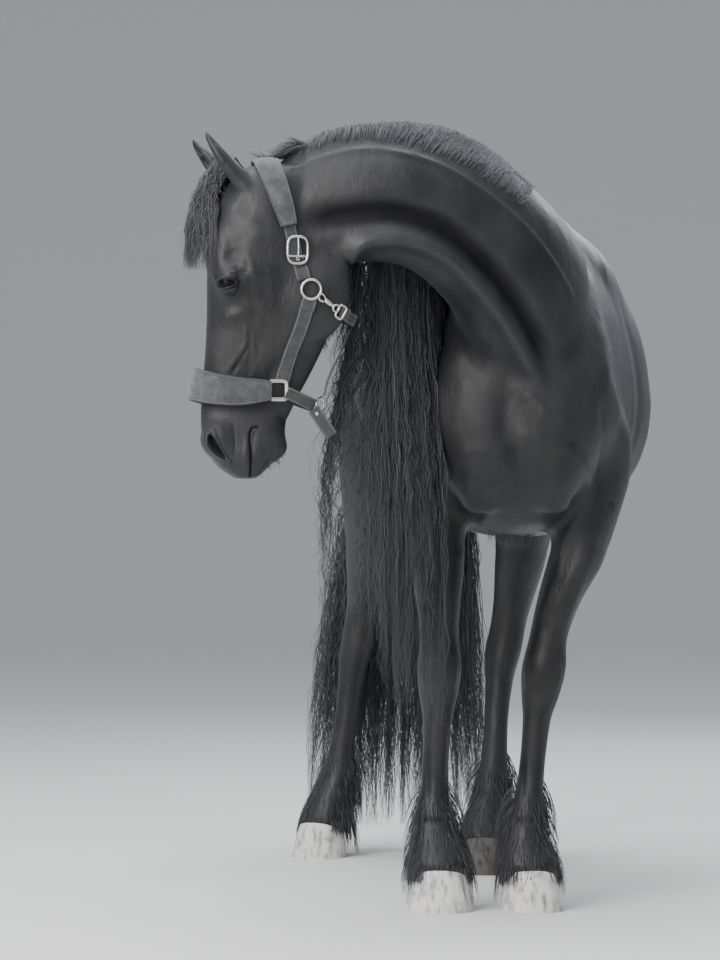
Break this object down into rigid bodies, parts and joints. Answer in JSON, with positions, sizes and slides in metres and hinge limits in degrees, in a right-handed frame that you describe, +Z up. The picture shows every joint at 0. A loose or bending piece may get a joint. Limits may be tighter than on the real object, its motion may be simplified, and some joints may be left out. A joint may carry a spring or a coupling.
{
  "type": "friesian horse",
  "caption": "Life-size still model of a standing black draught-type riding mare, head turned to the right, long mane, full tail, feathered legs, halter.",
  "frame": {"origin": "on the ground under the middle of the bounding box", "axes": "+Z up, +Y from the chest to the tail, +X to the horse's left"},
  "size_m": [1.0489, 2.1968, 1.7326],
  "materials": {
    "coat": "short glossy black coat with a grey-blue sheen",
    "hair": "long wavy black hair, satin",
    "hoof": "dusty grey-white horn, matte",
    "dark_hoof": "dark horn, matte",
    "eye": "wet dark brown, glossy",
    "felt": "charcoal grey felt padding, matte",
    "webbing": "woven dark grey webbing, matte",
    "nickel": "worn nickel plate, satin"
  },
  "bodies": {
    "root": {"torso": "coat", "neck": "coat", "head": "coat", "ear_left": "coat", "ear_right": "coat", "upper_fore_left": "coat", "upper_fore_right": "coat", "upper_hind_left": "coat", "upper_hind_right": "coat", "lower_fore_left": "coat", "lower_fore_right": "coat", "lower_hind_left": "coat", "lower_hind_right": "coat", "hoof_fore_left": "hoof", "hoof_fore_right": "hoof", "hoof_hind_right": "hoof", "hoof_hind_left": "dark_hoof", "eye_left": "eye", "eye_right": "eye", "mane": "hair", "tail": "hair", "forelock": "hair", "halter_crown": "felt", "halter_noseband": "felt", "halter_throat": "webbing", "halter_jaw": "webbing", "halter_tab": "webbing", "halter_ring_chin": "nickel", "halter_chin_left": "webbing", "halter_cheek_left": "webbing", "halter_ring_left": "nickel", "halter_square_left": "nickel", "halter_buckle_left": "nickel", "halter_snap_left": "nickel", "halter_chin_right": "webbing", "halter_cheek_right": "webbing", "halter_ring_right": "nickel", "halter_square_right": "nickel", "halter_buckle_right": "nickel", "halter_snap_right": "nickel"}
  },
  "joints": []
}
